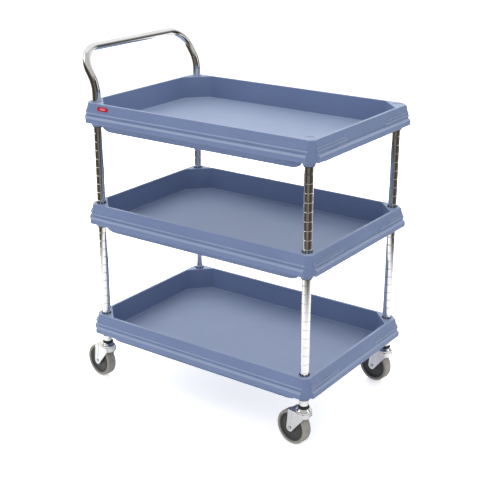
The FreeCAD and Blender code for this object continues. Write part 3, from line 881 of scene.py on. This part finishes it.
def makePostTree():
    # a tube whose rolled grooves repeat along it: four rings to a groove and one at each end
    tree, given, result = newPieceTree("groovedTube", {
        "Grooves": 28, "Length": 0.75, "Radius": 0.0127, "Pitch": 0.0254, "First": 0.0254, "Width": 0.0018,
        "Depth": 0.0006, "Segments": 56, "Foot": (0, 0, 0)})

    def calc(operation, first, second=0.0):
        return mathNode(tree, operation, first, second)

    four = calc("MULTIPLY", given["Grooves"], 4.0)
    line = addNode(tree, "GeometryNodeMeshLine", {"Count": calc("ADD", four, 2.0), "Offset": (0, 0, 0.001)})
    index = addNode(tree, "GeometryNodeInputIndex").outputs["Index"]
    ring = calc("SUBTRACT", index, 1.0)
    groove = calc("FLOOR", calc("DIVIDE", ring, 4.0))
    within = calc("SUBTRACT", calc("SUBTRACT", ring, calc("MULTIPLY", groove, 4.0)), 1.5)
    offset = calc("MULTIPLY", within, calc("DIVIDE", given["Width"], 3.0))
    along = calc("ADD", calc("MULTIPLY", groove, given["Pitch"]), given["First"])
    isFirst = calc("LESS_THAN", index, 0.5)
    isLast = calc("GREATER_THAN", index, calc("ADD", four, 0.5))
    inside = calc("SUBTRACT", 1.0, calc("ADD", isFirst, isLast))
    level = calc("ADD", calc("MULTIPLY", calc("ADD", along, offset), inside),
                 calc("MULTIPLY", given["Length"], isLast))
    deep = calc("MULTIPLY", calc("LESS_THAN", calc("ABSOLUTE", within), 1.0), inside)
    radius = calc("SUBTRACT", given["Radius"], calc("MULTIPLY", deep, given["Depth"]))
    spot = addNode(tree, "ShaderNodeCombineXYZ", {"Z": level})
    moved = addNode(tree, "GeometryNodeSetPosition", {"Geometry": line.outputs["Mesh"],
                                                      "Position": spot.outputs["Vector"]})
    curve = addNode(tree, "GeometryNodeMeshToCurve", {"Mesh": moved.outputs["Geometry"]})
    circle = addNode(tree, "GeometryNodeCurvePrimitiveCircle", {"Resolution": given["Segments"],
                                                                "Radius": 1.0})
    tube = addNode(tree, "GeometryNodeCurveToMesh", {"Curve": curve.outputs["Curve"],
                   "Profile Curve": circle.outputs["Curve"], "Scale": radius, "Fill Caps": True})
    stood = addNode(tree, "GeometryNodeTransform", {"Geometry": tube.outputs["Mesh"],
                                                    "Translation": given["Foot"]})
    return endPieceTree(tree, given, result, stood.outputs["Geometry"])


def smoothPiece(piece, sharpAngle, slot):
    bm = bmesh.new()
    bm.from_mesh(piece.data)
    piece.data = finishMesh(bm, piece.name, sharpAngle)
    piece.data.materials.append(materials[slot])


def makePost(corner):
    s = postSettings
    low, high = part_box("post_" + corner)
    length = high.z - low.z
    first, pitch, width = s["firstGroove"] * mm, s["groovePitch"] * mm, s["grooveWidth"] * mm
    grooves = int((length - first) / pitch) + 1
    if first + (grooves - 1) * pitch + width > length:
        grooves -= 1
    axis = postAxis(corner)
    post = runTree("grooved_post_" + corner, postTree, "grooved_chrome", grooves=grooves, length=length,
                   radius=s["radius"] * mm, pitch=pitch, first=first, width=width,
                   depth=s["grooveDepth"] * mm, segments=s["segments"], foot=(axis.x, axis.y, low.z))
    smoothPiece(post, s["sharpAngle"], "grooved_chrome")
    place(post, rootBody, "grooved_chrome", "post_" + corner)


postTree = makePostTree()
for corner in corners:
    makePost(corner)
print("posts rolled:", len(corners))


# toothed tops of the split sleeves, standing just above the lower trays' rims
toothSettings = {"count": 9, "radius": 13.5, "size": (1.5, 4.4, 7.4), "above": 4.6, "bevel": 0.25}


def makeToothTree():
    # equal teeth on a circle, each turned to face outwards
    tree, given, result = newPieceTree(
        "toothRing", {"Count": 11, "Radius": 0.0134, "Size": (0.0013, 0.0036, 0.006), "Centre": (0, 0, 0)})
    circle = addNode(tree, "GeometryNodeMeshCircle", {"Vertices": given["Count"],
                                                      "Radius": given["Radius"]})
    tooth = addNode(tree, "GeometryNodeMeshCube", {"Size": given["Size"]})
    index = addNode(tree, "GeometryNodeInputIndex").outputs["Index"]
    turn = mathNode(tree, "DIVIDE", mathNode(tree, "MULTIPLY", index, 2 * math.pi), given["Count"])
    facing = addNode(tree, "ShaderNodeCombineXYZ", {"Z": turn})
    ring = addNode(tree, "GeometryNodeInstanceOnPoints", {"Points": circle.outputs["Mesh"],
                   "Instance": tooth.outputs["Mesh"], "Rotation": facing.outputs["Vector"]})
    stood = addNode(tree, "GeometryNodeTransform", {"Geometry": ring.outputs["Instances"],
                                                    "Translation": given["Centre"]})
    return endPieceTree(tree, given, result, stood.outputs["Geometry"])


def makeTeeth(level):
    s = toothSettings
    bm = bmesh.new()
    height = rimHeights[level] + (s["above"] - s["size"][2] / 2) * mm
    for corner in corners:
        axis = postAxis(corner)
        ring = runTree("teeth", toothTree, "sleeve_plastic", count=s["count"], radius=s["radius"] * mm,
                       size=tuple(part * mm for part in s["size"]), centre=(axis.x, axis.y, height))
        bm.from_mesh(ring.data)
        bpy.data.objects.remove(ring)
    bmesh.ops.bevel(bm, geom=bm.edges[:], offset=s["bevel"] * mm, segments=1, affect="EDGES")
    makePiece("sleeve_teeth_" + level, bm, 38.0, "sleeve_plastic", rootBody)


toothTree = makeToothTree()
for level in ("bottom", "middle"):
    makeTeeth(level)
print("sleeve teeth made")


# push handle

handleSettings = {
    "belowRim": 30.0,
    "upright": 22.0,
    "leanRadius": 95.0,
    "leanAngle": 32.0,
    "cornerRadius": 67.0,
    "barAboveRim": 141.5,
    "radius": 12.7,
    "bendSteps": 18,
    "segments": 56,
    "sharpAngle": 30.0,
}


def makeTubeTree():
    # a tube along a run of straight lines, each turn bent to the radius stored at its point
    tree, given, result = newPieceTree("bentTube", {"Radius": 0.0127, "Bend Steps": 16, "Segments": 48})
    bend = addNode(tree, "GeometryNodeInputNamedAttribute", {"Name": "bendRadius"}, data_type="FLOAT")
    route = addNode(tree, "GeometryNodeMeshToCurve", {"Mesh": given["Geometry"]})
    filleted = addNode(tree, "GeometryNodeFilletCurve", {"Curve": route.outputs["Curve"],
                       "Count": given["Bend Steps"], "Radius": bend.outputs["Attribute"]}, mode="POLY")
    circle = addNode(tree, "GeometryNodeCurvePrimitiveCircle", {"Resolution": given["Segments"],
                                                                "Radius": given["Radius"]})
    tube = addNode(tree, "GeometryNodeCurveToMesh", {"Curve": filleted.outputs["Curve"],
                   "Profile Curve": circle.outputs["Curve"], "Fill Caps": True})
    return endPieceTree(tree, given, result, tube.outputs["Mesh"])


def makeHandle():
    s = handleSettings
    rim = rimHeights["top"]
    lean = math.radians(s["leanAngle"])
    kneeUp = s["upright"] + s["leanRadius"] * math.tan(lean / 2)
    back = math.tan(lean) * (s["barAboveRim"] - kneeUp)
    points, bends = [], []
    for sign in (-1, 1):
        side = [((0, -s["belowRim"]), 0), ((0, kneeUp), s["leanRadius"]),
                ((-back, s["barAboveRim"]), s["cornerRadius"])]
        for (x, up), radius in side if sign < 0 else reversed(side):
            points.append(postsMiddle + Vector((-halfX + x * mm, sign * halfY, rim + up * mm)))
            bends.append(radius * mm)
    mesh = bpy.data.meshes.new("handleRoute")
    mesh.from_pydata(points, [(k, k + 1) for k in range(len(points) - 1)], [])
    mesh.attributes.new("bendRadius", "FLOAT", "POINT").data.foreach_set("value", bends)
    handle = runTree("bent_push_handle", makeTubeTree(), "chrome_tube", mesh, radius=s["radius"] * mm,
                     bendsteps=s["bendSteps"], segments=s["segments"])
    smoothPiece(handle, s["sharpAngle"], "chrome_tube")
    place(handle, rootBody, "chrome_tube", "push_handle")


makeHandle()
print("handle bent")


# caps and badge

capSettings = {
    "segments": 64,
    "outline": [(0.0, -1.5), (6.5, -1.4), (8.6, -1.0), (9.4, -0.5), (10.2, -0.25), (12.6, -0.25), (13.5, -0.55),
                (13.9, -1.3), (13.9, -2.4), (10.9, -2.4), (10.9, -14.0), (0.0, -14.0)],
}


def makeCaps():
    low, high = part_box("post_caps")
    outline = [(radius * mm, high.z + drop * mm) for radius, drop in capSettings["outline"]]
    bm = bmesh.new()
    for corner in ("front_right", "front_left"):
        joinShapes(bm, lathe(outline, capSettings["segments"], postAxis(corner), closed=False))
    makePiece("dished_post_caps", bm, 40.0, "cap_plastic", rootBody, "post_caps")


softSettings = {"weld": 0.000004, "flatAngle": 0.6, "segments": 2, "sharpAngle": 30.0}


def softCopy(node, name, slot, width):
    # the CAD shape with its edges rounded over
    s = softSettings
    bm = bmesh.new()
    bm.from_mesh(frame["nodes"][node].data)
    bmesh.ops.remove_doubles(bm, verts=bm.verts, dist=s["weld"])
    bmesh.ops.dissolve_limit(bm, angle_limit=math.radians(s["flatAngle"]), verts=bm.verts, edges=bm.edges)
    for face in bm.faces:
        face.smooth = True
    mesh = bpy.data.meshes.new(name)
    bm.to_mesh(mesh)
    bm.free()
    for layer in ("custom_normal", "sharp_edge", "sharp_face"):
        if layer in mesh.attributes:
            mesh.attributes.remove(mesh.attributes[layer])
    piece = addObject(name, mesh, slot)
    bevel = piece.modifiers.new("rounded", "BEVEL")
    bevel.width = width
    bevel.segments = s["segments"]
    bevel.limit_method = "ANGLE"
    bevel.angle_limit = math.radians(s["sharpAngle"])
    weighted = piece.modifiers.new("weighted", "WEIGHTED_NORMAL")
    weighted.keep_sharp = True
    return settle(piece)


makeCaps()
badge = softCopy("badge_plate", "domed_badge", "badge_red", 0.0005)
place(badge, rootBody, "badge_red", "badge_plate")
print("caps and badge fitted")


# casters

casterSettings = {
    "segments": 96,
    "tyre": [(42.6, -13.4), (44.0, -14.2), (44.8, -14.9), (47.4, -15.4), (48.9, -14.6), (50.1, -13.0), (50.7, -10.6),
             (50.8, -7.0), (50.8, -0.5), (50.65, 0.0), (50.8, 0.5), (50.8, 7.0), (50.7, 10.6), (50.1, 13.0),
             (48.9, 14.6), (47.4, 15.4), (44.8, 14.9), (44.0, 14.2), (42.6, 13.4)],
    "forkRound": 0.6,
    # the outer half of the hub: radius, distance from the middle of the wheel
    "hubHalf": [(6.2, 15.9), (10.8, 15.9), (12.0, 15.2), (12.5, 13.6), (12.6, 10.4), (13.6, 8.4), (15.4, 7.5),
                (19.0, 7.2), (19.6, 8.6), (21.2, 8.6), (21.8, 7.2), (28.4, 7.2), (29.0, 8.6), (30.6, 8.6),
                (31.2, 7.3), (35.4, 7.6), (37.2, 9.0), (38.4, 12.4), (39.2, 13.3), (42.4, 13.4)],
}


def wheelPiece(name, outline, corner, slot, node, sharpAngle):
    spin = joints["wheel_spin_" + corner]
    centre, axis = Vector(spin["pos_m"]), Vector(spin["axis"]).normalized()
    bm = lathe([(radius * mm, distance * mm) for radius, distance in outline], casterSettings["segments"], axis="Y")
    turn = Vector((0, 1, 0)).rotation_difference(axis).to_matrix().to_4x4()
    bmesh.ops.transform(bm, matrix=Matrix.Translation(centre) @ turn, verts=bm.verts)
    makePiece(name + "_" + corner, bm, sharpAngle, slot, "wheel_" + corner, node)


cupSettings = {
    "segments": 80,
    "crownBelowCup": 0.8,
    # radius and height above the fork's crown, mm
    "cup": [(7.2, 5.7), (7.2, 14.2), (14.0, 14.2), (15.6, 13.4), (17.6, 10.6), (19.8, 8.0), (21.6, 6.6), (22.4, 5.0),
            (22.5, 1.6), (22.0, 0.9), (20.7, 0.9), (20.4, 1.8), (20.3, 4.8), (19.6, 5.7)],
    "seal": [(8.1, 0.05), (14.4, 0.05), (15.6, 0.7), (16.0, 1.8), (15.9, 3.4), (14.9, 5.4), (13.9, 6.95), (8.1, 6.95)],
}


def makeCaster(corner):
    name = "caster_" + corner
    s = cupSettings
    axis = postAxis(corner)
    hub = casterSettings["hubHalf"]
    hubLoop = [(radius, -distance) for radius, distance in hub] + list(reversed(hub))
    wheelPiece("moulded_hub", hubLoop, corner, "hub_plastic", name + "_wheel_hub", 60.0)
    wheelPiece("rounded_tyre", casterSettings["tyre"], corner, "grey_tyre", name + "_tyre", 50.0)
    cupLow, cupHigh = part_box(name + "_bearing_cup")
    crown = cupLow.z - s["crownBelowCup"] * mm
    outline = [(radius * mm, min(crown + up * mm, cupHigh.z)) for radius, up in s["cup"]]
    makePiece("pressed_cup_" + corner, lathe(outline, s["segments"], axis), 50.0, "caster_chrome", rootBody,
              name + "_bearing_cup")
    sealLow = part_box(name + "_seal_ring")[0].z
    outline = [(radius * mm, sealLow + up * mm) for radius, up in s["seal"]]
    makePiece("rubber_seal_" + corner, lathe(outline, s["segments"], axis), 60.0, "seal_rubber", rootBody,
              name + "_seal_ring")
    fork = softCopy(name + "_fork", "pressed_fork_" + corner, "caster_chrome",
                    casterSettings["forkRound"] * mm)
    place(fork, "swivel_" + corner, "caster_chrome", name + "_fork")


for corner in corners:
    makeCaster(corner)
print("casters built:", len(corners))


# CAD nodes that stay get their finish

keptFinishes = {"sleeves_": "sleeve_plastic", "handle_joiners": "plain_steel", "_stem": "plain_steel",
                "_bearing_balls": "plain_steel", "_axle_bolt": "axle_zinc", "_axle_nut": "axle_zinc",
                "_wheel_bush": "plain_steel"}
for nodeName, nodeObject in frame["nodes"].items():
    for part, slot in keptFinishes.items():
        if part in nodeName:
            for slotItem in nodeObject.material_slots:
                slotItem.material = materials[slot]


# floor, light and surroundings

studioSettings = {
    "floorSize": 60.0,
    "paper": (0.93, 0.93, 0.93, 1),
    "paperWarm": (0.915, 0.915, 0.92, 1),
    "paperGlow": 0.52,
    "paperRoughness": 0.9,
    "paperSpecular": 0.1,
    "paperScales": (300.0, 2.0),
    "paperReach": (1.15, 1.75),
    "roomShade": (0.030, 0.026, 0.022, 1),
    "roomLit": (0.42, 0.36, 0.28, 1),
    "shapeScale": 4.5,
    "shapeEdge": (0.50, 0.66),
    "roomEdge": (0.15, 0.60),
    "ceilingEdge": (0.35, 0.65),
    "ceilingShade": 0.45,
    "skyStrength": 1.0,
    "skyShown": 1.05,
}
lightSettings = {
    # place, aim, width, height, power, seen in reflections
    "keyLight": ((-2.3, -1.7, 3.2), (0, 0, 0.6), 1.8, 1.8, 12.0, True),
    "topLight": ((0.0, 0.2, 3.1), (0, 0, 0.8), 2.4, 2.0, 15.0, False),
    "sideLight": ((2.9, 0.9, 1.7), (0, 0, 0.5), 0.7, 2.2, 6.8, True),
    "backLight": ((-2.0, 2.8, 1.4), (0, 0, 0.45), 4.5, 2.2, 165.0, False),
    "lowLight": ((-0.6, -3.0, 0.9), (0, 0, 0.45), 2.4, 0.9, 13.0, False),
}


def flatWay(tree, vector):
    return vectorNode(tree, "NORMALIZE", vectorNode(tree, "MULTIPLY", vector, (1, 1, 0)))


def towardsFarSide(tree, vector):
    # how far a direction points to the far side of the studio, -1 to 1
    turn = math.radians(cameraSettings["azimuth"])
    return vectorNode(tree, "DOT_PRODUCT", flatWay(tree, vector), (-math.sin(turn), math.cos(turn), 0), "Value")


def roomTone(tree, vector, s):
    # the unlit near side of the studio, with a few dim upright shapes in it
    shapes = noise(tree, flatWay(tree, vector), s["shapeScale"], 3.0)
    lit = ramp(tree, shapes, *s["shapeEdge"], smooth=True)
    return blendColour(tree, lit, s["roomShade"], s["roomLit"])


def roomMask(tree, vector, s):
    # where reflections see the unlit side: below the ceiling, and only in gloss
    away = ramp(tree, towardsFarSide(tree, vector), *s["roomEdge"], 1.0, 0.0, smooth=True)
    unit = vectorNode(tree, "NORMALIZE", vector)
    height = addNode(tree, "ShaderNodeSeparateXYZ", {"Vector": unit}).outputs["Z"]
    below = ramp(tree, height, *s["ceilingEdge"], 1.0, s["ceilingShade"], smooth=True)
    glossy = addNode(tree, "ShaderNodeLightPath").outputs["Is Glossy Ray"]
    return mathNode(tree, "MULTIPLY", mathNode(tree, "MULTIPLY", away, below), glossy)


def makeFloor(s):
    half = s["floorSize"] / 2
    mesh = bpy.data.meshes.new("studioFloor")
    mesh.from_pydata([(-half, -half, 0), (half, -half, 0), (half, half, 0), (-half, half, 0)], [], [(0, 1, 2, 3)])
    floor = addObject("studioFloor", mesh)
    material, tree, shader = newMaterial("palePaper")
    grain = useGroup(tree, grainGroup, Fine_Scale=s["paperScales"][0], Broad_Scale=s["paperScales"][1])
    spot = objectSpot(tree)
    outside = ramp(tree, vectorNode(tree, "LENGTH", spot, output="Value"), *s["paperReach"], smooth=True)
    shade = mathNode(tree, "MULTIPLY", outside, roomMask(tree, spot, s))
    paper = blendColour(tree, spread(tree, grain["Broad"]), s["paper"], s["paperWarm"])
    tone = blendColour(tree, shade, paper, roomTone(tree, spot, s))
    shown = addNode(tree, "ShaderNodeLightPath").outputs["Is Camera Ray"]
    glow = blendColour(tree, shown, (0.0, 0.0, 0.0, 1), tone)
    connect(tree, shader, Base_Color=tone, Emission_Color=glow)
    shader.inputs["Emission Strength"].default_value = s["paperGlow"]
    shader.inputs["Roughness"].default_value = s["paperRoughness"]
    shader.inputs["Specular IOR Level"].default_value = s["paperSpecular"]
    mesh.materials.append(material)


def makeLight(name, spot, aim, width, height, power, reflected):
    data = bpy.data.lights.new(name, "AREA")
    data.shape = "RECTANGLE"
    data.size, data.size_y = width, height
    data.energy = power
    light = addObject(name, data)
    aimAlong(light, spot, Vector(aim) - Vector(spot))
    light.visible_camera = False
    light.visible_glossy = reflected


def makeWorld(s):
    world = bpy.data.worlds.new("studioWorld")
    world.use_nodes = True
    tree = world.node_tree
    background = tree.nodes["Background"]
    way = addNode(tree, "ShaderNodeTexCoord").outputs["Generated"]
    colour = blendColour(tree, roomMask(tree, way, s), (1.0, 1.0, 1.0, 1), roomTone(tree, way, s))
    shown = addNode(tree, "ShaderNodeLightPath").outputs["Is Camera Ray"]
    strength = ramp(tree, shown, 0.0, 1.0, s["skyStrength"], s["skyShown"])
    tree.links.new(colour, background.inputs["Color"])
    tree.links.new(strength, background.inputs["Strength"])
    scene.world = world


makeFloor(studioSettings)
for name, values in lightSettings.items():
    makeLight(name, *values)
makeWorld(studioSettings)
scene.view_settings.view_transform = "Standard"
scene.view_settings.look = "None"
print("studio set")
